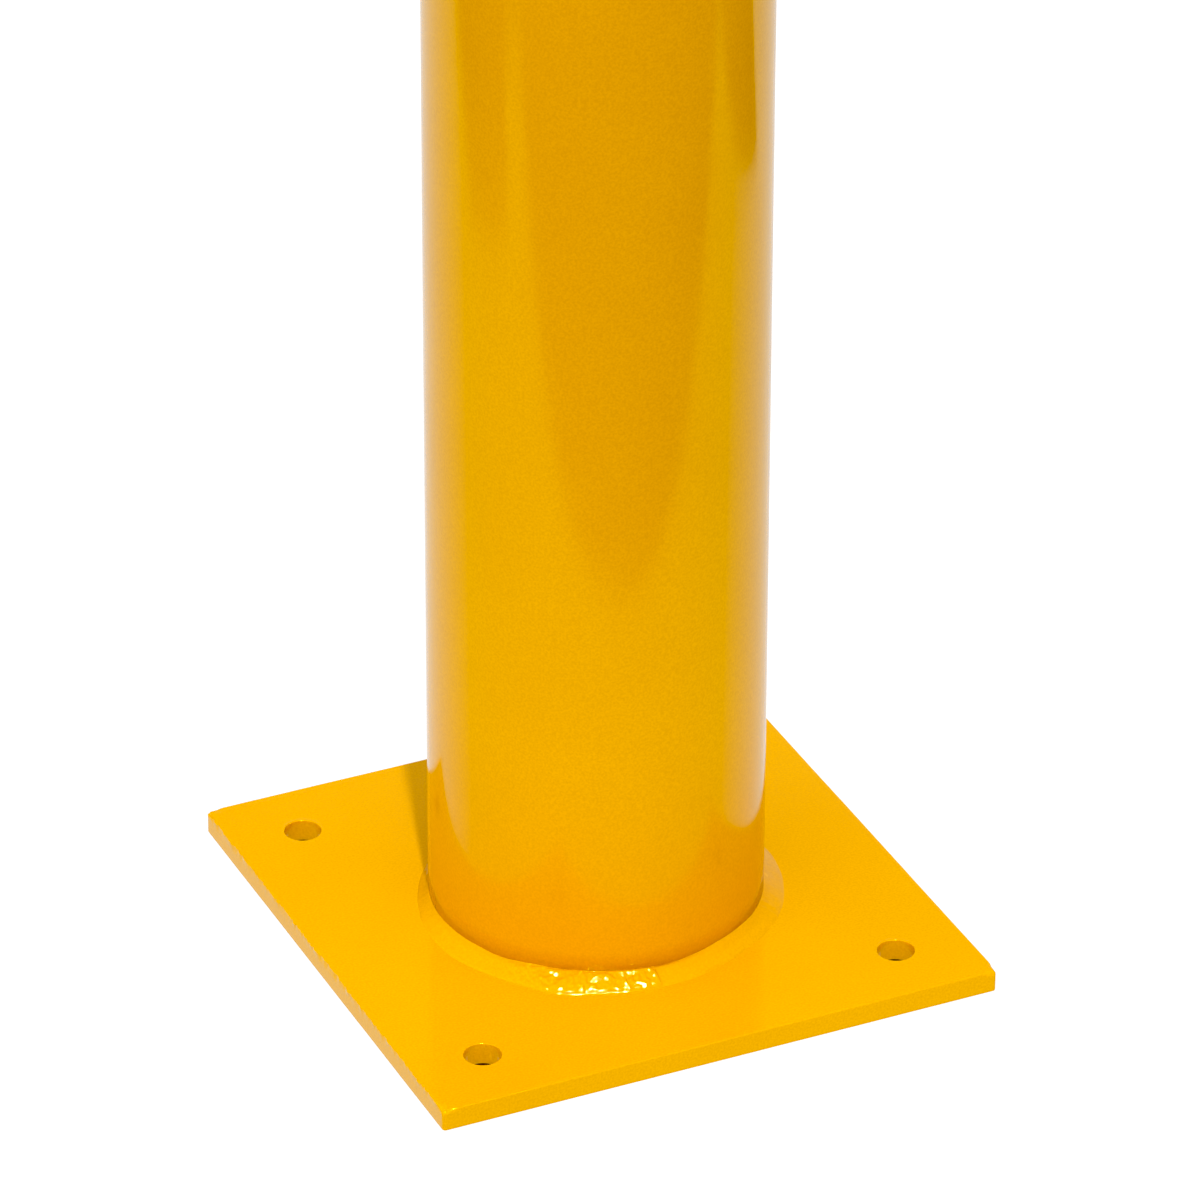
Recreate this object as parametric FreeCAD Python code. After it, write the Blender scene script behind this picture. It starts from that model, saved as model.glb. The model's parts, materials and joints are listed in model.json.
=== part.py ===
import FreeCAD, Part
import math
import os

# Steel safety bollard: a round steel post welded upright on a square base plate with a bolt
# hole near each corner, closed at the top by a push-in rubber cap that lifts off.
#
# Millimetres. The origin is the centre of the plate's underside, on the floor. +Z runs up the
# post, and +X and +Y run square to the plate's sides.

INCH = 25.4

# Base plate
PLATE_SIDE = 8.0 * INCH
PLATE_THICKNESS = 5.0 / 16.0 * INCH
PLATE_CORNER_RADIUS = 1.2
PLATE_EDGE_ROUND = 0.5
HOLE_PITCH = 6.0 * INCH
HOLE_DIAMETER = 0.5 * INCH
HOLE_EDGE_BREAK = 0.4

# Post: 4 inch schedule 40 pipe
RIM_HEIGHT = 36.0 * INCH  # floor to the pipe's top rim
PIPE_DIAMETER = 4.5 * INCH
PIPE_WALL = 6.02
RIM_CHAMFER = 0.8

# Fillet weld all round the foot of the pipe
WELD_UPPER_LEG = 3.3
WELD_OUTER_LEG = 6.3
WELD_CROWN = 0.7  # height of the convex face above a flat one

# Push-in cap
CAP_CROWN_HEIGHT = 14.0
CAP_EDGE_HEIGHT = 5.0
CAP_EDGE_ROUND = 3.0
CAP_TOP_THICKNESS = 5.0
PLUG_LENGTH = 38.0
PLUG_WALL = 4.5
PLUG_LEAD_IN = 1.5
RIB_COUNT = 4
RIB_PITCH = 8.0
RIB_FIRST_DEPTH = 7.0  # rim to the middle of the uppermost rib
RIB_HEIGHT = 2.0
RIB_CLEARANCE = 0.35  # to the pipe's bore

PIPE_RADIUS = PIPE_DIAMETER / 2.0
BORE_RADIUS = PIPE_RADIUS - PIPE_WALL
Z_AXIS = FreeCAD.Vector(0, 0, 1)
ORIGIN = FreeCAD.Vector(0, 0, 0)


def profile_point(radius, height):
    """A point in the XZ half plane that the round pieces are turned from."""
    return FreeCAD.Vector(radius, 0, height)


def lines_through(points):
    """Straight edges from each point to the next."""
    return [Part.LineSegment(a, b).toShape() for a, b in zip(points, points[1:])]


def turned(edges):
    """The solid of revolution about Z of a closed profile."""
    face = Part.Face(Part.Wire(Part.__sortEdges__(edges)))
    return face.revolve(ORIGIN, Z_AXIS, 360)


def level_edges(shape, height):
    """The edges of a shape that lie wholly at one height."""
    return [
        edge
        for edge in shape.Edges
        if abs(edge.BoundBox.ZMin - height) < 1e-6 and abs(edge.BoundBox.ZMax - height) < 1e-6
    ]


def make_base_plate():
    """Square plate with lightly broken edges and a plain through hole near each corner."""
    corner = FreeCAD.Vector(-PLATE_SIDE / 2.0, -PLATE_SIDE / 2.0, 0)
    plate = Part.makeBox(PLATE_SIDE, PLATE_SIDE, PLATE_THICKNESS, corner)
    uprights = [edge for edge in plate.Edges if edge.BoundBox.ZLength > PLATE_THICKNESS / 2.0]
    plate = plate.makeFillet(PLATE_CORNER_RADIUS, uprights)
    rims = level_edges(plate, 0) + level_edges(plate, PLATE_THICKNESS)
    plate = plate.makeFillet(PLATE_EDGE_ROUND, rims)
    for x_side in (-1, 1):
        for y_side in (-1, 1):
            centre = FreeCAD.Vector(x_side * HOLE_PITCH / 2.0, y_side * HOLE_PITCH / 2.0, 0)
            plate = plate.cut(make_hole_cutter(centre))
    return plate


def make_hole_cutter(centre):
    """A bolt hole's drill with a small break at the plate's two faces."""
    radius = HOLE_DIAMETER / 2.0
    drill = Part.makeCylinder(radius, PLATE_THICKNESS, centre)
    lower_break = Part.makeCone(radius + HOLE_EDGE_BREAK, radius, HOLE_EDGE_BREAK, centre)
    upper_centre = centre + FreeCAD.Vector(0, 0, PLATE_THICKNESS - HOLE_EDGE_BREAK)
    upper_break = Part.makeCone(radius, radius + HOLE_EDGE_BREAK, HOLE_EDGE_BREAK, upper_centre)
    return drill.fuse([lower_break, upper_break])


def make_post_pipe():
    """Round pipe standing on the plate, with its top rim chamfered inside and outside."""
    corners = [
        profile_point(BORE_RADIUS, PLATE_THICKNESS),
        profile_point(PIPE_RADIUS, PLATE_THICKNESS),
        profile_point(PIPE_RADIUS, RIM_HEIGHT - RIM_CHAMFER),
        profile_point(PIPE_RADIUS - RIM_CHAMFER, RIM_HEIGHT),
        profile_point(BORE_RADIUS + RIM_CHAMFER, RIM_HEIGHT),
        profile_point(BORE_RADIUS, RIM_HEIGHT - RIM_CHAMFER),
        profile_point(BORE_RADIUS, PLATE_THICKNESS),
    ]
    return turned(lines_through(corners))


def make_base_weld():
    """Fillet weld between the pipe and the plate: unequal legs and a convex face."""
    root = profile_point(PIPE_RADIUS, PLATE_THICKNESS)
    upper_toe = root + FreeCAD.Vector(0, 0, WELD_UPPER_LEG)
    outer_toe = root + FreeCAD.Vector(WELD_OUTER_LEG, 0, 0)
    face_normal = FreeCAD.Vector(WELD_UPPER_LEG, 0, WELD_OUTER_LEG).normalize()
    crown = (upper_toe + outer_toe) * 0.5 + face_normal * WELD_CROWN
    face_arc = Part.Arc(outer_toe, crown, upper_toe).toShape()
    return turned(lines_through([upper_toe, root, outer_toe]) + [face_arc])


def make_top_cap():
    """Crowned rubber cap: a head on the pipe's rim over a hollow plug with sealing ribs."""
    rib_radius = BORE_RADIUS - RIB_CLEARANCE
    plug_radius = rib_radius - RIB_HEIGHT
    hollow_radius = plug_radius - PLUG_WALL
    plug_end = RIM_HEIGHT - PLUG_LENGTH
    ceiling = RIM_HEIGHT + CAP_EDGE_HEIGHT - CAP_TOP_THICKNESS
    edge_top = RIM_HEIGHT + CAP_EDGE_HEIGHT

    # Outside of the plug, from its lower end up to the head's underside, with a round-nosed
    # rib at each pitch
    outside = [
        profile_point(plug_radius - PLUG_LEAD_IN, plug_end),
        profile_point(plug_radius, plug_end + PLUG_LEAD_IN),
    ]
    edges = []
    for index in reversed(range(RIB_COUNT)):
        middle = RIM_HEIGHT - RIB_FIRST_DEPTH - index * RIB_PITCH
        rib_foot = profile_point(plug_radius, middle - RIB_HEIGHT)
        rib_nose = profile_point(rib_radius, middle)
        rib_head = profile_point(plug_radius, middle + RIB_HEIGHT)
        edges += lines_through(outside + [rib_foot])
        edges.append(Part.Arc(rib_foot, rib_nose, rib_head).toShape())
        outside = [rib_head]

    # Head: flat underside on the rim, upright edge, round shoulder and a shallow crown
    shoulder_start = profile_point(PIPE_RADIUS, edge_top - CAP_EDGE_ROUND)
    shoulder_end = profile_point(PIPE_RADIUS - CAP_EDGE_ROUND, edge_top)
    shoulder_centre = profile_point(PIPE_RADIUS - CAP_EDGE_ROUND, edge_top - CAP_EDGE_ROUND)
    diagonal = math.sqrt(0.5) * CAP_EDGE_ROUND
    shoulder_middle = shoulder_centre + FreeCAD.Vector(diagonal, 0, diagonal)
    edges += lines_through(
        outside
        + [
            profile_point(plug_radius, RIM_HEIGHT),
            profile_point(PIPE_RADIUS, RIM_HEIGHT),
            shoulder_start,
        ]
    )
    edges.append(Part.Arc(shoulder_start, shoulder_middle, shoulder_end).toShape())

    # The crown is an arc of one large sphere, from the shoulder to the axis
    rise = CAP_CROWN_HEIGHT - CAP_EDGE_HEIGHT
    half_width = PIPE_RADIUS - CAP_EDGE_ROUND
    sphere_radius = (half_width**2 + rise**2) / (2.0 * rise)
    half_angle = 0.5 * math.asin(half_width / sphere_radius)
    top = profile_point(0, edge_top + rise)
    crown_middle = profile_point(
        sphere_radius * math.sin(half_angle),
        edge_top + rise - sphere_radius * (1.0 - math.cos(half_angle)),
    )
    edges.append(Part.Arc(shoulder_end, crown_middle, top).toShape())

    # Back down the axis to the ceiling of the hollow, and down the inside of the plug
    edges += lines_through(
        [
            top,
            profile_point(0, ceiling),
            profile_point(hollow_radius, ceiling),
            profile_point(hollow_radius, plug_end),
            profile_point(plug_radius - PLUG_LEAD_IN, plug_end),
        ]
    )
    return turned(edges)


def main():
    os.makedirs("parts", exist_ok=True)
    nodes = {
        "base_plate": make_base_plate(),
        "post_pipe": make_post_pipe(),
        "base_weld": make_base_weld(),
        "top_cap": make_top_cap(),
    }
    for name, shape in nodes.items():
        if not shape.isValid() or len(shape.Solids) != 1:
            raise RuntimeError(name + " is not one valid solid")
        shape.exportStep("parts/" + name + ".step")
        print(name, round(shape.Volume), "mm3")


main()
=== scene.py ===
import json
import math

import bmesh
import bpy
from mathutils import Matrix, Vector, noise
from mathutils.geometry import delaunay_2d_cdt


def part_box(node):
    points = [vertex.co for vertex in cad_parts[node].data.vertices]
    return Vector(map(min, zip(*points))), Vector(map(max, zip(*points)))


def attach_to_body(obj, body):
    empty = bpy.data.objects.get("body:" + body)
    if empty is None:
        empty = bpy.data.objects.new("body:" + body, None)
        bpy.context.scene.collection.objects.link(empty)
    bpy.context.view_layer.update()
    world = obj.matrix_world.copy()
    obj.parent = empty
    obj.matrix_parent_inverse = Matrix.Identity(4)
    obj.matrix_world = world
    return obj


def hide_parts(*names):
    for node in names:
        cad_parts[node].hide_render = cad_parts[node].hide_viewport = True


# Steel safety bollard: the coated plate, pipe and weld, and the rubber cap, built as fine meshes
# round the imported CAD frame. Metres, in the CAD's own frame: origin under the plate's centre,
# +Z up the post.

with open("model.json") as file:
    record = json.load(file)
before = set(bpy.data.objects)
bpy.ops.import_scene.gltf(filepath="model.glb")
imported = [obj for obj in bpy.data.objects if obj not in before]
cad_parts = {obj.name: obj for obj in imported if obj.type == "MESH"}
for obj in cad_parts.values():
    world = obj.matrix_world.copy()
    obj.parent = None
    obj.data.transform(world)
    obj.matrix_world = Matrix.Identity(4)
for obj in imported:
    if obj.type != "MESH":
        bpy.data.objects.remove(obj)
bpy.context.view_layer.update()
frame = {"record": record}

MM = 0.001

# Sizes that come from the frame
plate_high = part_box("base_plate")[1]
pipe_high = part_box("post_pipe")[1]
weld_low, weld_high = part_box("base_weld")
cap_low, cap_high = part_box("top_cap")
anchors = next(m for m in frame["record"]["mounts"] if m["name"] == "anchor_holes")["dims"]

PLATE_HALF = plate_high.x
PLATE_TOP = plate_high.z
PIPE_RADIUS = pipe_high.x
RIM_HEIGHT = pipe_high.z
WELD_OUTER_LEG = weld_high.x - PIPE_RADIUS
WELD_UPPER_LEG = weld_high.z - weld_low.z
HOLE_RADIUS = anchors["hole_r_mm"] * MM
HOLE_CENTRES = [
    Vector((x * anchors["spacing_x_mm"], y * anchors["spacing_y_mm"])) * (MM / 2)
    for x in (-1, 1)
    for y in (-1, 1)
]
CAP_TOP = cap_high.z
PLUG_END = cap_low.z

# Plate
PLATE_CORNER_RADIUS = 1.3 * MM
PLATE_EDGE_ROUND = 0.35 * MM
CORNER_WEAR = 0.55 * MM  # how far the corners' top edges are rounded off
CORNER_WEAR_DEPTH = 1.2 * MM  # how far down the corners that wear goes
CORNER_WEAR_REACH = 0.8 * MM  # how far from the edge, down and in, it lowers them
CORNER_START = 1.5 * MM  # how far along the sides a corner's dents and wear are full,
CORNER_END = 6.0 * MM  # and where they have faded out
RIM_BAND = 0.95 * MM  # how far in from its sides the plate's edge detail reaches
RIM_BAND_MIDDLE = 0.6 * MM
DEEPEST_WEAR = 0.55  # share of RIM_BAND that wear may take from the sides
SIDE_SWELL = 0.06 * MM  # how uneven the sheared sides are, everywhere
SIDE_WAVES = 0.02 * MM
SIDE_NICKS = 0.02 * MM
TORN_WAVES = 0.4 * MM  # what the torn top edge towards -X adds
TORN_NICKS = 0.75 * MM
CORNER_DENTS = 0.5 * MM
FACE_SWELL = 0.05 * MM
OUTLINE_STEP = 0.8 * MM
TOP_GRID_STEP = 5.0 * MM
NEAR_TOP = 0.9 * PLATE_TOP  # above this a point of the plate belongs to its top face
HOLE_LIP = 0.22 * MM
HOLE_EXIT_BREAK = 0.4 * MM
HOLE_BURR = 0.36 * MM
HOLE_SWELL = 0.05 * MM
HOLE_SEGMENTS = 144
TORN_SIDE = Vector((0.42, 0.91))  # the side of every hole whose lip is torn

# Pipe
PIPE_WALL = 6.02 * MM
BORE_RADIUS = PIPE_RADIUS - PIPE_WALL
PIPE_SEGMENTS = 256
RIM_ROUND = 0.8 * MM
PIPE_WAVES = 0.05 * MM
PIPE_FINE_WAVES = 0.012 * MM
SEAM_AZIMUTH = math.radians(128)
SEAM_HEIGHT = 0.2 * MM
SEAM_WIDTH = 1.4 * MM

# Weld
WELD_SEGMENTS = 1200
WELD_STEPS = 26
WELD_TUCK = 0.6 * MM  # how far the bead's root goes into the pipe and the plate
TOE_LIFT = 0.015 * MM
TOE_FEATHER = 0.3 * MM
RIPPLE_PITCH = 2.9 * MM
RIPPLE_LAG = 1.6  # how far the ripples lag at the toes, in radians of their phase
RIPPLE_DRIFT = 2.2  # how far their phase drifts round the post, in radians

# Cap
CAP_SEGMENTS = 192
CAP_EDGE_HEIGHT = 5.0 * MM
CAP_EDGE_ROUND = 3.0 * MM
PLUG_WALL = 4.5 * MM
PLUG_LEAD_IN = 1.5 * MM
RIB_COUNT = 4
RIB_PITCH = 8.0 * MM
RIB_FIRST_DEPTH = 7.0 * MM
RIB_HEIGHT = 2.0 * MM
RIB_CLEARANCE = 0.35 * MM
PARTING_HEIGHT = 1.2 * MM  # of the mould's parting line, above the head's underside
FLASH_OUT = 0.13 * MM  # how far the flash stands out there,
FLASH_ROOT = 0.25 * MM  # and half its thickness, at the head
FLASH_TIP = 0.08 * MM  # and at its tip
HEAD_CORNER = 0.3 * MM
PLUG_CORNER = 0.5 * MM
CROWN_SINK = 0.12 * MM
GATE_RADIUS = 4.0 * MM
GATE_HEIGHT = 0.8 * MM
GATE_CORNER = 0.6 * MM

# Camera: it looks at the foot of the post from the front left, a little down
CAMERA_AZIMUTH = math.radians(-24.766)
CAMERA_ELEVATION = math.radians(30.637)
CAMERA_ROLL = math.radians(0.165)
CAMERA_DISTANCE = 2.7964
CAMERA_AIM = Vector((0.0012, 0.0, 0.1224))
LENS_MM = 251.23
SENSOR_MM = 36.0

# Mesh building
JOIN_DISTANCE = 1e-7  # points of one piece that are closer than this become one
PLAN_TOLERANCE = 1e-8  # the same, for delaunay_2d_cdt
ONLY_INSIDE_LOOPS = 1  # what delaunay_2d_cdt is to fill


# ---------------------------------------------------------------- mesh helpers


def smoothstep(low, high, value):
    """0 up to low, 1 from high on, and a smooth rise between them."""
    t = min(1.0, max(0.0, (value - low) / (high - low)))
    return t * t * (3.0 - 2.0 * t)


def bump(centre, half_width, value):
    """A smooth hill of height 1 at centre, falling to 0 at half_width each side."""
    return 1.0 - smoothstep(0.0, half_width, abs(value - centre))


def grain(x, y, z, size, seed):
    """Smooth noise, about -1 to 1, whose features are size across."""
    return noise.noise(Vector((x / size + 17.3 * seed, y / size - 9.1 * seed, z / size)))


def bridge(faces, first_a, first_b, count):
    """Quads between two rings of count vertices that start at first_a and first_b."""
    for i in range(count):
        j = (i + 1) % count
        faces.append((first_a + i, first_a + j, first_b + j, first_b + i))


def skin_rings(rings, closed_across=False):
    """Vertices and quads through a list of rings that hold the same number of points."""
    count = len(rings[0])
    verts = [point for ring in rings for point in ring]
    faces = []
    for index in range(len(rings) - 1):
        bridge(faces, index * count, (index + 1) * count, count)
    if closed_across:
        bridge(faces, (len(rings) - 1) * count, 0, count)
    return verts, faces


def make_piece(name, verts, faces, materials, face_slots=None):
    """A smooth-shaded mesh object whose normals point outwards."""
    mesh = bpy.data.meshes.new(name)
    mesh.from_pydata([tuple(v) for v in verts], [], faces)
    for material in materials:
        mesh.materials.append(material)
    if face_slots:
        mesh.polygons.foreach_set("material_index", face_slots)
    work = bmesh.new()
    work.from_mesh(mesh)
    bmesh.ops.remove_doubles(work, verts=work.verts, dist=JOIN_DISTANCE)
    bmesh.ops.recalc_face_normals(work, faces=work.faces)
    for face in work.faces:
        face.smooth = True
    work.to_mesh(mesh)
    work.free()
    piece = bpy.data.objects.new(name, mesh)
    bpy.context.scene.collection.objects.link(piece)
    return piece


def attach(piece, body, node):
    """Put a piece on the body that carries it, and hide the CAD part that it stands for."""
    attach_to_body(piece, body)
    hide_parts(node)


# ---------------------------------------------------------------- node helpers


class Nodes:
    """A short way to add and link shader nodes in one tree."""

    def __init__(self, tree):
        self.tree = tree

    def add(self, kind, inputs=None, **settings):
        """A new node; each input is a constant or the socket that is linked to it."""
        node = self.tree.nodes.new(kind)
        for key, value in settings.items():
            setattr(node, key, value)
        for key, value in (inputs or {}).items():
            if isinstance(value, bpy.types.NodeSocket):
                self.tree.links.new(value, node.inputs[key])
            else:
                node.inputs[key].default_value = value
        return node

    def noise(self, vector, size, detail=2.0, roughness=0.5):
        """Noise from 0 to 1 with features of about the given size."""
        node = self.add(
            "ShaderNodeTexNoise",
            {"Vector": vector, "Scale": 1.0 / size, "Detail": detail, "Roughness": roughness},
        )
        return node.outputs["Fac"]

    def remap(self, value, from_low, from_high, to_low, to_high):
        """Value taken from one range to another, and held at its ends."""
        node = self.add(
            "ShaderNodeMapRange",
            {
                "Value": value,
                "From Min": from_low,
                "From Max": from_high,
                "To Min": to_low,
                "To Max": to_high,
            },
        )
        return node.outputs["Result"]

    def mix(self, factor, first, second):
        """A colour between first, at factor 0, and second, at factor 1."""
        node = self.add("ShaderNodeMix", data_type="RGBA")
        for index, value in ((0, factor), (6, first), (7, second)):
            if isinstance(value, bpy.types.NodeSocket):
                self.tree.links.new(value, node.inputs[index])
            else:
                node.inputs[index].default_value = value
        return node.outputs[2]

    def math(self, operation, first, second=0.0):
        node = self.add("ShaderNodeMath", {0: first, 1: second}, operation=operation)
        return node.outputs["Value"]

    def bump(self, height, depth, normal=None):
        """Relief of the given depth in metres."""
        inputs = {"Height": height, "Distance": depth, "Strength": 1.0}
        if normal is not None:
            inputs["Normal"] = normal
        return self.add("ShaderNodeBump", inputs).outputs["Normal"]


def new_material(name):
    """An empty material, and the Nodes of its tree."""
    material = bpy.data.materials.new(name)
    material.use_nodes = True
    material.node_tree.nodes.clear()
    return material, Nodes(material.node_tree)


def finish_material(material, nodes, shader):
    """Give the material its surface, and return it."""
    output = nodes.add("ShaderNodeOutputMaterial")
    nodes.tree.links.new(shader, output.inputs["Surface"])
    return material


# ---------------------------------------------------------------- materials

COAT_YELLOW = (0.695, 0.336, 0.0, 1.0)
COAT_DEEP = (0.675, 0.321, 0.0, 1.0)
COAT_THIN = (0.73, 0.36, 0.004, 1.0)
# Deeper colour of the weld's built-up coat, also used as painted shade at the post's foot and in
# the bolt holes
COAT_BUILT_UP_AND_SHADE = (0.58, 0.24, 0.0, 1.0)
COAT_SPECKLE = (0.5, 0.21, 0.0, 1.0)
COAT_SPECULAR_TINT = (1.0, 0.9, 0.1, 1.0)
WELD_SPECULAR_TINT = (1.0, 0.95, 0.28, 1.0)
COAT_SPECULAR_LEVEL = 0.85
POLYMER_IOR = 1.5

# Painted shade: the heights between which the foot of the post is darkened, where the bolt holes'
# walls end, and how dark each is, from 0 to 1
FOOT_HEIGHT = 95.0 * MM
FULL_FOOT_HEIGHT = 25.0 * MM
FOOT_SHADE = 0.45
UPRIGHT_START = PLATE_TOP + 1.0 * MM
UPRIGHT_FULL = PLATE_TOP + 3.0 * MM
HOLE_WALL_TOP = PLATE_TOP - 0.2 * MM
BOLT_HOLE_SHADE = 0.3

# How broad the coat's patches and its orange peel are, and how deep that peel is
COAT_PATCH = 60.0 * MM
COAT_SPECKLE_SIZE = 0.8 * MM
COAT_GLOSS_PATCH = 18.0 * MM
FINE_PEEL = 0.9 * MM
BROAD_PEEL = 4.5 * MM
BROAD_PEEL_DEPTH = 2.2  # times the fine peel's depth
PEEL_DEPTH = 0.013 * MM

# The weld's coat is smoother, deeper in colour and glossier
WELD_PEEL_DEPTH = 0.005 * MM
WELD_BUILD = 0.3
WELD_GLOSSIEST = 0.055

MILL_SCALE = (0.045, 0.05, 0.056, 1.0)
MILL_SCALE_PALE = (0.13, 0.125, 0.12, 1.0)
RUST = (0.16, 0.06, 0.025, 1.0)
OVERSPRAY_FULL = RIM_HEIGHT + 5.0 * MM
OVERSPRAY_END = RIM_HEIGHT - 50.0 * MM
OVERSPRAY_DRIFT = 40.0 * MM

RUBBER = (0.024, 0.024, 0.025, 1.0)
RUBBER_BLOOM = (0.038, 0.038, 0.039, 1.0)
RUBBER_RUBBED = (0.05, 0.05, 0.052, 1.0)

PAPER = (0.86, 0.86, 0.855, 1.0)
PAPER_PALE = (0.9, 0.9, 0.9, 1.0)
# Painted shade: the floor's colour under the plate, seen through its holes
PAPER_SHADE_UNDER_PLATE = (0.26, 0.17, 0.06, 1.0)
PAPER_CLOUD = 0.6
PLATE_SHADE_INSET = 3.0 * MM  # how far in from the plate's sides its shade on the floor starts


def past_plate(nodes):
    """1 past a line just inside the plate's sides, at any height, and 0 within it."""
    place = nodes.add("ShaderNodeTexCoord").outputs["Object"]
    across = nodes.add("ShaderNodeSeparateXYZ", {"Vector": place})
    x = nodes.math("ABSOLUTE", across.outputs["X"])
    y = nodes.math("ABSOLUTE", across.outputs["Y"])
    edge = PLATE_HALF - PLATE_SHADE_INSET
    return nodes.math("GREATER_THAN", nodes.math("MAXIMUM", x, y), edge)


def powder_coat(name, peel_depth, build=0.0, glossiest=0.09, tint=COAT_SPECULAR_TINT):
    """Glossy yellow powder coat: orange peel, slightly uneven gloss, thinner on sharp edges.

    build, from 0 to 1, is how much thicker and so deeper in colour the coat has built up. The same
    deeper colour is painted shade on the foot of the post, less and less with height, and in the
    bolt holes."""
    material, nodes = new_material(name)
    place = nodes.add("ShaderNodeTexCoord").outputs["Object"]
    pointiness = nodes.add("ShaderNodeNewGeometry").outputs["Pointiness"]

    patches = nodes.remap(nodes.noise(place, COAT_PATCH, 3.0), 0.35, 0.65, 0.0, 1.0)
    colour = nodes.mix(patches, COAT_YELLOW, COAT_DEEP)
    height = nodes.add("ShaderNodeSeparateXYZ", {"Vector": place}).outputs["Z"]
    # Painted shade: darker towards the foot of the post, on its upright wall only
    foot = nodes.remap(height, FULL_FOOT_HEIGHT, FOOT_HEIGHT, FOOT_SHADE, 0.0)
    upright = nodes.remap(height, UPRIGHT_START, UPRIGHT_FULL, 0.0, 1.0)
    built_up_and_shade = nodes.math("MAXIMUM", nodes.math("MULTIPLY", foot, upright), build)
    # Painted shade on the walls of the bolt holes
    inward = nodes.math("SUBTRACT", 1.0, past_plate(nodes))
    in_hole = nodes.math("MULTIPLY", inward, nodes.math("LESS_THAN", height, HOLE_WALL_TOP))
    built_up_and_shade = nodes.math("MAXIMUM", built_up_and_shade, nodes.math("MULTIPLY", in_hole, BOLT_HOLE_SHADE))
    colour = nodes.mix(built_up_and_shade, colour, COAT_BUILT_UP_AND_SHADE)
    speckle = nodes.remap(nodes.noise(place, COAT_SPECKLE_SIZE, 1.0), 0.3, 0.7, 0.0, 0.4)
    colour = nodes.mix(speckle, colour, COAT_SPECKLE)
    thin = nodes.remap(pointiness, 0.54, 0.62, 0.0, 0.6)
    colour = nodes.mix(thin, colour, COAT_THIN)

    gloss = nodes.noise(place, COAT_GLOSS_PATCH, 4.0, 0.6)
    roughness = nodes.remap(gloss, 0.3, 0.7, glossiest, 1.8 * glossiest)

    fine_peel = nodes.noise(place, FINE_PEEL, 1.5)
    broad_peel = nodes.noise(place, BROAD_PEEL, 2.0)
    normal = nodes.bump(fine_peel, peel_depth)
    normal = nodes.bump(broad_peel, BROAD_PEEL_DEPTH * peel_depth, normal)

    shader = nodes.add(
        "ShaderNodeBsdfPrincipled",
        {
            "Base Color": colour,
            "Roughness": roughness,
            "Normal": normal,
            "IOR": POLYMER_IOR,
            "Specular IOR Level": COAT_SPECULAR_LEVEL,
            "Specular Tint": tint,
        },
    )
    return finish_material(material, nodes, shader.outputs["BSDF"])


def bore_steel(name):
    """Inside of the pipe: powder overspray near the rim, dull blue-grey mill scale below it."""
    material, nodes = new_material(name)
    place = nodes.add("ShaderNodeTexCoord").outputs["Object"]
    height = nodes.add("ShaderNodeSeparateXYZ", {"Vector": place}).outputs["Z"]
    cloud = nodes.noise(place, 14 * MM, 5.0, 0.65)
    edge = nodes.math("ADD", height, nodes.math("MULTIPLY", cloud, OVERSPRAY_DRIFT))
    overspray = nodes.remap(edge, OVERSPRAY_END, OVERSPRAY_FULL, 0.0, 1.0)

    scale = nodes.mix(cloud, MILL_SCALE, MILL_SCALE_PALE)
    rust = nodes.remap(nodes.noise(place, 5 * MM, 6.0, 0.7), 0.58, 0.7, 0.0, 0.8)
    scale = nodes.mix(rust, scale, RUST)
    colour = nodes.mix(overspray, scale, COAT_DEEP)
    roughness = nodes.remap(overspray, 0.0, 1.0, 0.55, 0.3)
    normal = nodes.bump(nodes.noise(place, 1.6 * MM, 4.0, 0.6), 0.05 * MM)
    shader = nodes.add(
        "ShaderNodeBsdfPrincipled",
        {"Base Color": colour, "Roughness": roughness, "Normal": normal, "Metallic": 0.0},
    )
    return finish_material(material, nodes, shader.outputs["BSDF"])


def moulded_rubber(name):
    """Black rubber: fine matt grain, faint bloom in patches, edges rubbed a little smoother."""
    material, nodes = new_material(name)
    place = nodes.add("ShaderNodeTexCoord").outputs["Object"]
    pointiness = nodes.add("ShaderNodeNewGeometry").outputs["Pointiness"]
    bloom = nodes.remap(nodes.noise(place, 24 * MM, 5.0, 0.6), 0.4, 0.75, 0.0, 1.0)
    colour = nodes.mix(bloom, RUBBER, RUBBER_BLOOM)
    rubbed = nodes.remap(pointiness, 0.52, 0.6, 0.0, 0.5)
    colour = nodes.mix(rubbed, colour, RUBBER_RUBBED)
    roughness = nodes.remap(nodes.noise(place, 6 * MM, 4.0, 0.6), 0.3, 0.7, 0.42, 0.58)
    normal = nodes.bump(nodes.noise(place, 0.5 * MM, 3.0, 0.6), 0.02 * MM)
    normal = nodes.bump(nodes.noise(place, 7 * MM, 2.0), 0.06 * MM, normal)
    shader = nodes.add(
        "ShaderNodeBsdfPrincipled",
        {"Base Color": colour, "Roughness": roughness, "Normal": normal, "IOR": POLYMER_IOR},
    )
    return finish_material(material, nodes, shader.outputs["BSDF"])


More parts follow.
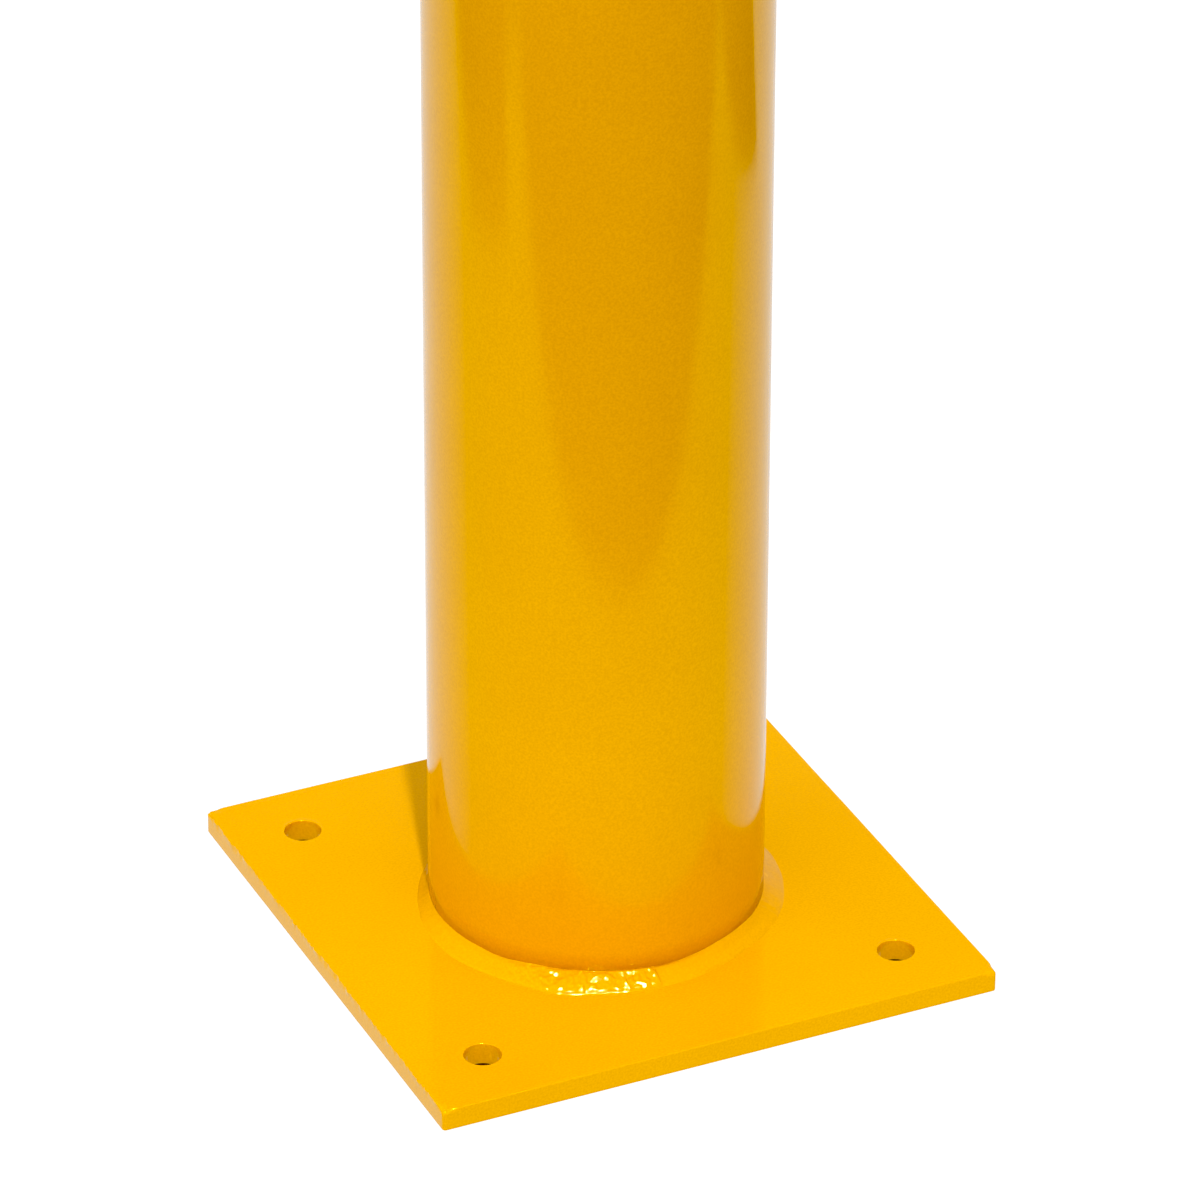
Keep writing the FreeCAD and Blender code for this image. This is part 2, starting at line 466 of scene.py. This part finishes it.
def studio_floor(name):
    """Pale paper that glows, so that only faint shadows show on it, with painted shade under the
    plate: it is dark there and does not glow.
    """
    material, nodes = new_material(name)
    place = nodes.add("ShaderNodeTexCoord").outputs["Object"]
    tone = nodes.mix(nodes.noise(place, PAPER_CLOUD, 2.0), PAPER, PAPER_PALE)
    # Painted shade under the plate: the paper is dark there, and it does not glow
    tone = nodes.mix(past_plate(nodes), PAPER_SHADE_UNDER_PLATE, tone)
    paper = nodes.add("ShaderNodeBsdfDiffuse", {"Color": tone})
    strength = nodes.math("MULTIPLY", past_plate(nodes), FLOOR_GLOW)
    glow = nodes.add("ShaderNodeEmission", {"Strength": strength})
    shader = nodes.add("ShaderNodeMixShader", {"Fac": FLOOR_GLOW_SHARE})
    nodes.tree.links.new(paper.outputs["BSDF"], shader.inputs[1])
    nodes.tree.links.new(glow.outputs["Emission"], shader.inputs[2])
    return finish_material(material, nodes, shader.outputs["Shader"])


def even_light(name, strength):
    """A sheet that glows evenly, and a little less where the plate covers it, as painted shade of
    the plate.
    """
    material, nodes = new_material(name)
    covered = COVERED_PAPER_SHARE * strength
    strength = nodes.remap(past_plate(nodes), 0.0, 1.0, covered, strength)
    glow = nodes.add("ShaderNodeEmission", {"Strength": strength})
    return finish_material(material, nodes, glow.outputs["Emission"])


# ---------------------------------------------------------------- base plate


def outline_points():
    """The plate's nominal outline as (point, outward normal), one side and corner at a time."""
    straight = PLATE_HALF - PLATE_CORNER_RADIUS
    steps = int(2 * straight / OUTLINE_STEP)
    corner_steps = 6
    points = []
    for side in range(4):
        turn = Matrix.Rotation(side * math.pi / 2, 2)
        for i in range(steps):
            along = -straight + 2 * straight * i / steps
            points.append((turn @ Vector((PLATE_HALF, along)), turn @ Vector((1.0, 0.0))))
        for i in range(corner_steps):
            angle = math.pi / 2 * i / corner_steps
            normal = Vector((math.cos(angle), math.sin(angle)))
            centre = Vector((straight, straight))
            points.append((turn @ (centre + normal * PLATE_CORNER_RADIUS), turn @ normal))
    return points


def near_corner(point):
    """1 at a corner of the plate, falling to 0 a few millimetres along its sides."""
    along = 2 * PLATE_HALF - abs(point.x) - abs(point.y)
    return 1.0 - smoothstep(CORNER_START, CORNER_END, along)


def edge_raggedness(point, normal, level):
    """How far a sheared edge stands out of its plane: torn near the top, smoother below it.

    The side towards -X has the roughest top edge, and the corners are a little dented."""
    rough_side = smoothstep(0.5, 0.9, -normal.x)
    x, y = point
    torn = smoothstep(0.7, 1.0, level)
    dent = torn * near_corner(point)
    long_wave = grain(x, y, level * 0.004, 30 * MM, 1) * SIDE_SWELL
    ragged = rough_side * torn
    waves = grain(x, y, level * 0.004, 5.5 * MM, 2) * (SIDE_WAVES + TORN_WAVES * ragged)
    nicks = grain(x, y, level * 0.003, 1.5 * MM, 3) * (SIDE_NICKS + TORN_NICKS * ragged)
    dents = grain(x, y, level * 0.003, 2.2 * MM, 16) * CORNER_DENTS * dent
    return long_wave + waves + nicks + dents


def plate_rings(outline):
    """Rings round the plate's rim, from its underside up to its top face."""
    profile = [(RIM_BAND, 0.0)]
    for step in range(5):
        angle = math.pi / 2 * step / 4
        inset = PLATE_EDGE_ROUND * (1 - math.sin(angle))
        profile.append((inset, PLATE_EDGE_ROUND * (1 - math.cos(angle))))
    side_steps = 9
    flat_side = PLATE_TOP - 2 * PLATE_EDGE_ROUND
    for step in range(1, side_steps):
        profile.append((0.0, PLATE_EDGE_ROUND + flat_side * step / side_steps))
    for step in range(6):
        angle = math.pi / 2 * step / 5
        inset = PLATE_EDGE_ROUND * (1 - math.cos(angle))
        profile.append((inset, PLATE_TOP - PLATE_EDGE_ROUND * (1 - math.sin(angle))))
    profile += [(RIM_BAND_MIDDLE, PLATE_TOP), (RIM_BAND, PLATE_TOP)]

    rings = []
    for inset, height in profile:
        ring = []
        for point, normal in outline:
            fade = 1.0 - smoothstep(PLATE_EDGE_ROUND, RIM_BAND, inset)
            out = edge_raggedness(point, normal, height / PLATE_TOP) * fade - inset
            below_top = PLATE_TOP - height
            worn = CORNER_WEAR * near_corner(point) * fade
            out -= worn * (1.0 - smoothstep(0.0, CORNER_WEAR_DEPTH, below_top))
            # The rings stay in order, or worn corners would fold over
            furthest_in = DEEPEST_WEAR * RIM_BAND + (1.0 - DEEPEST_WEAR) * inset
            out = max(out, -furthest_in)
            spot = point + normal * out
            drop = worn * (1.0 - smoothstep(0.0, CORNER_WEAR_REACH, below_top + inset))
            ring.append(Vector((spot.x, spot.y, height - drop)))
        rings.append(ring)
    return rings


def hole_rings(centre):
    """Rings down a bolt hole, from the top face, over a burred lip, to the underside.

    profile holds (out from the hole's wall, height, share of the burr) for each of them. The
    lip is torn on the side towards +X, +Y, and clean on the other."""
    profile = [(1.5 * MM, PLATE_TOP, 0.0), (0.8 * MM, PLATE_TOP, 0.1)]
    profile.append((0.42 * MM, PLATE_TOP, 0.6))
    for step in range(5):
        angle = math.pi / 2 * step / 4
        out = HOLE_LIP * (1 - math.sin(angle))
        profile.append((out, PLATE_TOP - HOLE_LIP * (1 - math.cos(angle)), 1.0 - 0.15 * step))
    for depth in (0.15, 0.3, 0.45, 0.6, 0.75):
        profile.append((0.0, PLATE_TOP * (1.0 - depth), 0.3))
    profile.append((0.0, HOLE_EXIT_BREAK, 0.2))
    profile.append((0.3 * HOLE_EXIT_BREAK, 0.3 * HOLE_EXIT_BREAK, 0.2))
    profile.append((HOLE_EXIT_BREAK, 0.0, 0.0))

    rings = []
    for out, height, rough in profile:
        ring = []
        for i in range(HOLE_SEGMENTS):
            angle = 2 * math.pi * i / HOLE_SEGMENTS
            direction = Vector((math.cos(angle), math.sin(angle)))
            torn = rough * (0.2 + 0.8 * smoothstep(-0.1, 0.6, direction.dot(TORN_SIDE)))
            x, y = centre + direction * HOLE_RADIUS
            burr = grain(x, y, height * 0.4, 0.7 * MM, 4) * HOLE_BURR * torn
            swell = grain(x, y, 0.0, 4.5 * MM, 5) * HOLE_SWELL * min(1.0, 5.0 * rough)
            spot = centre + direction * (HOLE_RADIUS + out + burr + swell)
            raised = 0.8 * abs(burr) if height > NEAR_TOP else 0.0
            ring.append(Vector((spot.x, spot.y, height + raised)))
        rings.append(ring)
    return rings


def fill_face(verts, faces, loops, extra):
    """Triangles of a flat face between an outer loop of vertices and the hole loops in it.

    loops holds (first vertex, count), the outer one first; extra holds more points inside.
    The loops are convex, so a triangle with all its corners on one hole's loop is in the hole."""
    indices = [first + i for first, count in loops for i in range(count)]
    owners = [number for number, (_first, count) in enumerate(loops) for _i in range(count)]
    height = verts[indices[0]].z
    for point in extra:
        indices.append(len(verts))
        owners.append(0)
        verts.append(Vector((point.x, point.y, height)))
    flat = [Vector((verts[i].x, verts[i].y)) for i in indices]
    edges = []
    start = 0
    for _first, count in loops:
        edges += [(start + i, start + (i + 1) % count) for i in range(count)]
        start += count
    result = delaunay_2d_cdt(flat, edges, [], ONLY_INSIDE_LOOPS, PLAN_TOLERANCE)
    triangles, origins = result[2], result[3]
    for triangle in triangles:
        corners = [origins[i][0] for i in triangle]
        touched = {owners[i] for i in corners}
        if len(touched) > 1 or 0 in touched:
            faces.append(tuple(indices[i] for i in corners))


def build_plate(material):
    """The plate: its rim, the walls of its four holes, and its two faces between them."""
    outline = outline_points()
    rim = plate_rings(outline)
    verts, faces = skin_rings(rim)
    count = len(outline)
    bottom_loops = [(0, count)]
    top_loops = [((len(rim) - 1) * count, count)]
    for centre in HOLE_CENTRES:
        rings = hole_rings(centre)
        first = len(verts)
        hole_verts, hole_faces = skin_rings(rings)
        verts += hole_verts
        faces += [tuple(first + i for i in face) for face in hole_faces]
        top_loops.append((first, HOLE_SEGMENTS))
        bottom_loops.append((first + (len(rings) - 1) * HOLE_SEGMENTS, HOLE_SEGMENTS))

    limit = PLATE_HALF - 4 * MM
    steps = int(2 * limit / TOP_GRID_STEP)
    clear = HOLE_RADIUS + 3.5 * MM
    grid = []
    for i in range(steps + 1):
        for j in range(steps + 1):
            spot = Vector((-limit + 2 * limit * i / steps, -limit + 2 * limit * j / steps))
            if all((spot - centre).length > clear for centre in HOLE_CENTRES):
                grid.append(spot)
    fill_face(verts, faces, top_loops, grid)
    fill_face(verts, faces, bottom_loops, [])

    # The rolled face isn't quite flat, and the weld's heat has drawn it a little
    for vert in verts:
        if vert.z > NEAR_TOP:
            vert.z += grain(vert.x, vert.y, 0.0, 45 * MM, 6) * FACE_SWELL
    return make_piece("plate_coated", verts, faces, [material])


# ---------------------------------------------------------------- post


def build_pipe(material, bore_material):
    """Closed wall of the pipe: outside, rounded rim and bore, with the bore's seam bead."""
    outer_steps = 80
    inner_steps = 40
    profile = []
    for step in range(outer_steps + 1):
        share = step / outer_steps
        height = PLATE_TOP + (RIM_HEIGHT - RIM_ROUND - PLATE_TOP) * share
        profile.append((PIPE_RADIUS, height))
    for step in range(1, 5):
        angle = math.pi / 2 * step / 4
        radius = PIPE_RADIUS - RIM_ROUND * (1 - math.cos(angle))
        profile.append((radius, RIM_HEIGHT - RIM_ROUND * (1 - math.sin(angle))))
    for step in range(5):
        angle = math.pi / 2 * step / 4
        radius = BORE_RADIUS + RIM_ROUND * (1 - math.sin(angle))
        profile.append((radius, RIM_HEIGHT - RIM_ROUND * (1 - math.cos(angle))))
    first_bore_ring = len(profile)
    for step in range(1, inner_steps + 1):
        share = step / inner_steps
        height = RIM_HEIGHT - RIM_ROUND - (RIM_HEIGHT - RIM_ROUND - PLATE_TOP) * share
        profile.append((BORE_RADIUS, height))

    rings = []
    for radius, height in profile:
        ring = []
        for i in range(PIPE_SEGMENTS):
            angle = 2 * math.pi * i / PIPE_SEGMENTS
            x, y = math.cos(angle), math.sin(angle)
            uneven = grain(x, y, height / 0.35, 0.5, 7) * PIPE_WAVES
            uneven += grain(x, y, height / 0.06, 0.3, 8) * PIPE_FINE_WAVES
            if radius == BORE_RADIUS:
                from_seam = (angle - SEAM_AZIMUTH) * BORE_RADIUS
                uneven -= SEAM_HEIGHT * math.exp(-((from_seam / SEAM_WIDTH) ** 2))
            ring.append(Vector((x * (radius + uneven), y * (radius + uneven), height)))
        rings.append(ring)
    verts, faces = skin_rings(rings, closed_across=True)
    slots = [0] * (first_bore_ring * PIPE_SEGMENTS)
    slots += [1] * (len(faces) - len(slots))
    return make_piece("pipe_coated", verts, faces, [material, bore_material], slots)


# ---------------------------------------------------------------- weld

# Where the bead swells or thins: middle and half width in degrees round the post, and how much
# the upper and the outer leg change there
BEAD_SWELLS = [
    (-64, 26, 1.0 * MM, -1.2 * MM),
    (-126, 13, 0.0, 1.7 * MM),
    (-150, 10, -0.3 * MM, -0.2 * MM),
    (142, 62, -1.5 * MM, -3.7 * MM),
    (35, 20, 0.8 * MM, 0.5 * MM),
    (110, 30, -0.3 * MM, 0.6 * MM),
]
# The stretch where the end of the bead runs over its beginning, in degrees round the post
TIE_IN_START = -152.0
TIE_IN_END = -94.0
TIE_IN_RISE = 24.0  # over how many degrees it comes in,
TIE_IN_FALL = 1.2  # and over how many it ends
# Where the bead is fullest, and how far that fades out to each side, in the same degrees
FULLEST = -100.0
FULLEST_HALF_WIDTH = 60.0

# The bead's relief. What the LAP_ values add goes only where the bead laps over itself
COVE = 0.5 * MM
LAP_COVE = 0.3 * MM
CROWN = 0.42 * MM
FULL_CROWN = 0.38 * MM
LAP_CROWN = 0.35 * MM
RIPPLE = 0.05 * MM
LAP_RIPPLE = 0.12 * MM
LUMPS = 0.06 * MM
LAP_LUMPS = 0.62 * MM
FINE_LUMPS = 0.02 * MM
LAP_FINE_LUMPS = 0.3 * MM
UPPER_LEG_NOISE = 0.35 * MM
OUTER_LEG_NOISE = 0.3 * MM


def bead_legs(degrees):
    """How far the bead reaches up the pipe and out along the plate, at one place."""
    upper = WELD_UPPER_LEG
    outer = WELD_OUTER_LEG
    for middle, half_width, upper_change, outer_change in BEAD_SWELLS:
        away = (degrees - middle + 180.0) % 360.0 - 180.0
        hill = bump(0.0, half_width, away)
        upper += upper_change * hill
        outer += outer_change * hill
    angle = math.radians(degrees)
    x, y = PIPE_RADIUS * math.cos(angle), PIPE_RADIUS * math.sin(angle)
    upper += grain(x, y, 0.0, 11 * MM, 9) * UPPER_LEG_NOISE
    outer += grain(x, y, 0.0, 9 * MM, 10) * OUTER_LEG_NOISE
    return upper, outer


def tie_in(degrees):
    """1 where the bead laps over itself, with a soft start and an abrupt end."""
    start = smoothstep(TIE_IN_START, TIE_IN_START + TIE_IN_RISE, degrees)
    end = 1.0 - smoothstep(TIE_IN_END - TIE_IN_FALL, TIE_IN_END, degrees)
    return start * end


def bezier(points, t):
    """The point at t, from 0 to 1, on the cubic curve of four control points."""
    s = 1.0 - t
    return (
        points[0] * s**3
        + points[1] * 3 * s * s * t
        + points[2] * 3 * s * t * t
        + points[3] * t**3
    )


def bead_section(degrees):
    """The bead's face at one place, as (out from the pipe, up from the plate) points.

    Coating fills both toes, so the face leaves the pipe and meets the plate in small coves, and
    is convex between them, with the cusped ripples of the weld pool."""
    upper, outer = bead_legs(degrees)
    lap = tie_in(degrees)
    full = bump(FULLEST, FULLEST_HALF_WIDTH, degrees)
    cove = COVE + LAP_COVE * lap
    base = [
        Vector((0.0, upper + cove)),
        Vector((0.0, upper * 0.9)),
        Vector((outer * 0.92, 0.0)),
        Vector((outer + cove, 0.0)),
    ]
    normal = Vector((upper, outer)).normalized()
    angle = math.radians(degrees)
    arc = angle * (PIPE_RADIUS + 0.5 * outer)
    pitch_drift = grain(math.cos(angle), math.sin(angle), 0.0, 0.2, 11) * RIPPLE_DRIFT
    points = []
    for step in range(WELD_STEPS + 1):
        t = step / WELD_STEPS
        face = math.sin(math.pi * t)
        spot = bezier(base, t)
        around = PIPE_RADIUS + spot.x
        x, y = around * math.cos(angle), around * math.sin(angle)
        lag = RIPPLE_LAG * (2.0 * t - 1.0) ** 2
        phase = arc / RIPPLE_PITCH * math.pi + lag + pitch_drift
        cusp = abs(math.sin(phase)) ** 0.7 - 0.6
        strength = 0.5 + grain(x, y, 0.0, 12 * MM, 12)
        crown = (1.0 - (2.0 * t - 1.0) ** 4) ** 1.5
        out = (CROWN + FULL_CROWN * full + LAP_CROWN * lap) * crown
        out += cusp * (RIPPLE + LAP_RIPPLE * lap) * strength * face**0.6
        out += grain(x, y, spot.y, 3.2 * MM, 13) * (LUMPS + LAP_LUMPS * lap) * face**0.35
        out += grain(x, y, spot.y, 1.3 * MM, 14) * (FINE_LUMPS + LAP_FINE_LUMPS * lap) * face**0.35
        points.append(spot + normal * out)
    return points


def build_weld(material):
    """Closed ring of the bead: its rippled face, and a root tucked into the pipe and the plate.

    Both toes feather out into the pipe and the plate, so that the coat runs on without a step."""
    sections = []
    for i in range(WELD_SEGMENTS):
        degrees = -180.0 + 360.0 * i / WELD_SEGMENTS
        face = bead_section(degrees)
        top, toe = face[0].y, face[-1].x
        section = [Vector((-WELD_TUCK, top)), Vector((-TOE_LIFT, top + TOE_FEATHER))]
        section += [Vector((p.x + TOE_LIFT, p.y + TOE_LIFT)) for p in face]
        section += [Vector((toe + TOE_FEATHER, -TOE_LIFT)), Vector((toe, -WELD_TUCK))]
        section.append(Vector((-WELD_TUCK, -WELD_TUCK)))
        sections.append((math.radians(degrees), section))
    rings = []
    for index in range(len(sections[0][1])):
        ring = []
        for angle, section in sections:
            out, up = section[index]
            radius = PIPE_RADIUS + out
            ring.append(
                Vector((radius * math.cos(angle), radius * math.sin(angle), PLATE_TOP + up))
            )
        rings.append(ring)
    verts, faces = skin_rings(rings, closed_across=True)
    return make_piece("weld_bead", verts, faces, [material])


# ---------------------------------------------------------------- cap


def cap_profile():
    """(radius, height) from the top of the crown, round the head and plug, to the ceiling."""
    rib_radius = BORE_RADIUS - RIB_CLEARANCE
    plug_radius = rib_radius - RIB_HEIGHT
    hollow_radius = plug_radius - PLUG_WALL
    edge_top = RIM_HEIGHT + CAP_EDGE_HEIGHT
    rise = CAP_TOP - edge_top
    half_width = PIPE_RADIUS - CAP_EDGE_ROUND
    sphere = (half_width**2 + rise**2) / (2 * rise)

    points = []
    crown_steps = 40
    for step in range(crown_steps):
        radius = half_width * step / crown_steps
        points.append((radius, CAP_TOP - sphere + math.sqrt(sphere**2 - radius**2)))
    for step in range(9):
        angle = math.pi / 2 * (1 - step / 8)
        radius = half_width + CAP_EDGE_ROUND * math.cos(angle)
        points.append((radius, edge_top - CAP_EDGE_ROUND * (1 - math.sin(angle))))

    # The mould's parting line, a thin flash round the head's edge
    parting = RIM_HEIGHT + PARTING_HEIGHT
    points += [
        (PIPE_RADIUS, parting + FLASH_ROOT),
        (PIPE_RADIUS + FLASH_OUT, parting + FLASH_TIP),
        (PIPE_RADIUS + FLASH_OUT, parting - FLASH_TIP),
        (PIPE_RADIUS, parting - FLASH_ROOT),
        (PIPE_RADIUS, RIM_HEIGHT + HEAD_CORNER),
        (PIPE_RADIUS - HEAD_CORNER, RIM_HEIGHT),
        (plug_radius + PLUG_CORNER, RIM_HEIGHT),
        (plug_radius, RIM_HEIGHT - PLUG_CORNER),
    ]
    for index in range(RIB_COUNT):
        middle = RIM_HEIGHT - RIB_FIRST_DEPTH - index * RIB_PITCH
        points.append((plug_radius, middle + RIB_HEIGHT * 1.25))
        for step in range(11):
            angle = math.pi * (0.5 - step / 10)
            bulge = RIB_HEIGHT * math.cos(angle)
            points.append((plug_radius + bulge, middle + RIB_HEIGHT * math.sin(angle)))
        points.append((plug_radius, middle - RIB_HEIGHT * 1.25))
    points += [
        (plug_radius, PLUG_END + PLUG_LEAD_IN),
        (plug_radius - PLUG_LEAD_IN, PLUG_END),
        (hollow_radius + PLUG_CORNER, PLUG_END),
        (hollow_radius, PLUG_END + PLUG_CORNER),
    ]
    ceiling = RIM_HEIGHT
    for share in (0.25, 0.5, 0.75):
        points.append((hollow_radius, PLUG_END + (ceiling - PLUG_END) * share))
    fillet = 2.0 * MM
    for step in range(6):
        angle = math.pi / 2 * step / 5
        radius = hollow_radius - fillet * (1 - math.cos(angle))
        points.append((radius, ceiling - fillet * (1 - math.sin(angle))))

    # Gate mark left by the mould, a small button in the middle of the ceiling
    points += [
        (hollow_radius * 0.6, ceiling),
        (GATE_RADIUS + GATE_CORNER, ceiling),
        (GATE_RADIUS, ceiling - GATE_CORNER),
        (GATE_RADIUS * 0.5, ceiling - GATE_HEIGHT),
        (0.0, ceiling - GATE_HEIGHT),
    ]
    return points


def build_cap(material):
    """The cap, turned from its profile, with the crown slightly sunk in places."""
    rings = []
    for radius, height in cap_profile():
        ring = []
        for i in range(CAP_SEGMENTS):
            angle = 2 * math.pi * i / CAP_SEGMENTS
            x, y = radius * math.cos(angle), radius * math.sin(angle)
            sink = 0.0
            if height > RIM_HEIGHT + CAP_EDGE_HEIGHT:
                sink = grain(x, y, 0.0, 30 * MM, 15) * CROWN_SINK
            ring.append(Vector((x, y, height + sink - abs(sink))))
        rings.append(ring)
    verts, faces = skin_rings(rings)
    return make_piece("rubber_cap", verts, faces, [material])


# ---------------------------------------------------------------- stage

PAPER_LIGHT = 1.0
FLOOR_GLOW = 1.12
GROUND_LIGHT = 0.11
FLOOR_GLOW_SHARE = 0.75
FLOOR_SIZE = 40.0
# Painted shade: how strongly the light sheets still glow under the plate
COVERED_PAPER_SHARE = 0.9  # of the light sheets' strength, under the plate
LAYER_GAP = 1.0 * MM

# The world: brightest towards BRIGHT_SIDE, dimmest opposite it, and darker straight overhead
# and round DARK_BACK. The higher a power is, the smaller the area that its tone keeps to
BRIGHT_SIDE = Vector((-0.5, -0.2, 0.4))
BRIGHT_SIDE_POWER = 2.0
DARK_BACK = Vector((-0.1, 0.97, 0.18))
DARK_BACK_POWER = 16.0
DARK_BACK_DEPTH = 0.85
WORLD_DIM = 0.7
WORLD_BRIGHT = 1.64
WORLD_OVERHEAD = 0.65
OVERHEAD_POWER = 4.0
WORLD_SEEN = 1.0  # strength of what the camera itself sees past the floor

LAMP_AZIMUTH = math.radians(-17.8)
LAMP_ELEVATION = math.radians(62.0)
LAMP_STRENGTH = 2.25
LAMP_ANGLE = math.radians(1.7)
REFLECTOR_STRENGTH = 7.0
REFLECTOR_ANGLE = math.radians(5.5)

# Dark ground past the edges of the white paper, as plan corners round the post
DARK_GROUND = {
    "ground_front": [(-0.76, -0.2), (-0.76, -1.3), (0.66, -1.3), (0.66, -0.44)],
    "ground_left": [(-0.6, -0.09), (-0.76, -0.05), (-0.76, -1.3), (-1.3, -1.3), (-1.3, 1.2),
                    (-0.86, 1.2), (-0.56, 0.22)],
    "ground_right": [(0.61, 0.09), (0.61, -0.22), (0.66, -0.44), (0.66, -1.3), (1.3, -1.3),
                     (1.3, 0.1), (0.8, -0.03)],
}

# Tones down to this one show as black
BLACK_LEVEL = 0.042


def flat_sheet(name, corners, height, material):
    """A level sheet of the stage with the given plan corners."""
    mesh = bpy.data.meshes.new(name)
    mesh.from_pydata([(x, y, height) for x, y in corners], [], [range(len(corners))])
    mesh.materials.append(material)
    sheet = bpy.data.objects.new(name, mesh)
    bpy.context.scene.collection.objects.link(sheet)
    return sheet


def build_floor():
    """The floor that the camera sees, and under it what the object is lit by and reflects.

    Those are white paper, and the dark ground where the paper ends in front and at the sides."""
    half = FLOOR_SIZE / 2
    square = [(-half, -half), (half, -half), (half, half), (-half, half)]
    seen = flat_sheet("studio_floor", square, -0.2 * LAYER_GAP, studio_floor("studio_floor"))
    seen.visible_diffuse = False
    seen.visible_glossy = False
    paper = even_light("white_paper", PAPER_LIGHT)
    ground = even_light("dark_ground", GROUND_LIGHT)
    lighting = [flat_sheet("white_paper", square, -2 * LAYER_GAP, paper)]
    for name, corners in DARK_GROUND.items():
        lighting.append(flat_sheet(name, corners, -LAYER_GAP, ground))
    for sheet in lighting:
        sheet.visible_camera = False
        sheet.visible_shadow = False


def facing(nodes, direction, towards):
    """Cosine of the angle between the world's direction and a fixed one."""
    inputs = {0: direction, 1: towards.normalized()}
    return nodes.add("ShaderNodeVectorMath", inputs, operation="DOT_PRODUCT").outputs["Value"]


def build_world():
    """Pale surroundings: brightest on the left, dimmer overhead, with a dark patch at the back."""
    world = bpy.data.worlds.new("studio")
    bpy.context.scene.world = world
    world.use_nodes = True
    world.node_tree.nodes.clear()
    nodes = Nodes(world.node_tree)
    direction = nodes.add("ShaderNodeTexCoord").outputs["Generated"]
    share = nodes.remap(facing(nodes, direction, BRIGHT_SIDE), -1.0, 1.0, 0.0, 1.0)
    share = nodes.math("POWER", share, BRIGHT_SIDE_POWER)
    light = nodes.remap(share, 0.0, 1.0, WORLD_DIM, WORLD_BRIGHT)
    height = nodes.add("ShaderNodeSeparateXYZ", {"Vector": direction}).outputs["Z"]
    overhead = nodes.math("POWER", nodes.math("MAXIMUM", height, 0.0), OVERHEAD_POWER)
    light = nodes.math("MULTIPLY", light, nodes.remap(overhead, 0.0, 1.0, 1.0, WORLD_OVERHEAD))
    back = nodes.math("MAXIMUM", facing(nodes, direction, DARK_BACK), 0.0)
    back = nodes.math("POWER", back, DARK_BACK_POWER)
    dark = nodes.remap(back, 0.0, 1.0, 1.0, 1.0 - DARK_BACK_DEPTH)
    light = nodes.math("MULTIPLY", light, dark)
    seen = nodes.add("ShaderNodeLightPath").outputs["Is Camera Ray"]
    strength = nodes.add("ShaderNodeMix", {0: seen, 2: light, 3: WORLD_SEEN}, data_type="FLOAT")
    background = nodes.add(
        "ShaderNodeBackground",
        {"Color": (1.0, 1.0, 1.0, 1.0), "Strength": strength.outputs[0]},
    )
    output = nodes.add("ShaderNodeOutputWorld")
    nodes.tree.links.new(background.outputs["Background"], output.inputs["Surface"])


def build_lamp(name, strength, angle):
    """A sun lamp in the lamps' one direction, as wide as angle looks from the object."""
    lamp = bpy.data.lights.new(name, "SUN")
    lamp.energy = strength
    lamp.angle = angle
    lamp_object = bpy.data.objects.new(name, lamp)
    lamp_object.rotation_euler = (math.pi / 2 - LAMP_ELEVATION, 0.0, LAMP_AZIMUTH)
    bpy.context.scene.collection.objects.link(lamp_object)
    return lamp_object


def build_lamps():
    """The main lamp, whose shadows are sharp, and the wider reflector round it.

    Only the reflector's glints show: the world stands for the light that it spreads."""
    build_lamp("main_lamp", LAMP_STRENGTH, LAMP_ANGLE)
    reflector = build_lamp("lamp_reflector", REFLECTOR_STRENGTH, REFLECTOR_ANGLE)
    reflector.visible_diffuse = False


def build_camera():
    """The camera, placed from its aim point, distance, azimuth, elevation and roll."""
    azimuth, elevation = CAMERA_AZIMUTH, CAMERA_ELEVATION
    back = Vector(
        (
            math.sin(azimuth) * math.cos(elevation),
            -math.cos(azimuth) * math.cos(elevation),
            math.sin(elevation),
        )
    )
    right = Vector((0.0, 0.0, 1.0)).cross(back).normalized()
    up = back.cross(right)
    rolled_right = right * math.cos(CAMERA_ROLL) + up * math.sin(CAMERA_ROLL)
    rolled_up = up * math.cos(CAMERA_ROLL) - right * math.sin(CAMERA_ROLL)
    camera = bpy.data.cameras.new("studio_camera")
    camera.lens = LENS_MM
    camera.sensor_width = SENSOR_MM
    camera.clip_end = 100.0
    camera_object = bpy.data.objects.new("studio_camera", camera)
    turn = Matrix((rolled_right, rolled_up, back)).transposed().to_4x4()
    camera_object.matrix_world = Matrix.Translation(CAMERA_AIM + back * CAMERA_DISTANCE) @ turn
    bpy.context.scene.collection.objects.link(camera_object)
    bpy.context.scene.camera = camera_object


# ---------------------------------------------------------------- the scene


def main():
    build_camera()
    build_world()
    build_lamps()
    build_floor()

    coat = powder_coat("yellow_powder_coat", PEEL_DEPTH)
    weld_coat = powder_coat(
        "yellow_powder_coat_weld",
        WELD_PEEL_DEPTH,
        build=WELD_BUILD,
        glossiest=WELD_GLOSSIEST,
        tint=WELD_SPECULAR_TINT,
    )
    attach(build_plate(coat), "post", "base_plate")
    attach(build_pipe(coat, bore_steel("pipe_bore")), "post", "post_pipe")
    attach(build_weld(weld_coat), "post", "base_weld")
    attach(build_cap(moulded_rubber("black_rubber")), "cap", "top_cap")

    view = bpy.context.scene.view_settings
    view.view_transform = "Standard"
    view.use_curve_mapping = True
    view.curve_mapping.black_level = (BLACK_LEVEL,) * 3
    view.curve_mapping.update()


main()
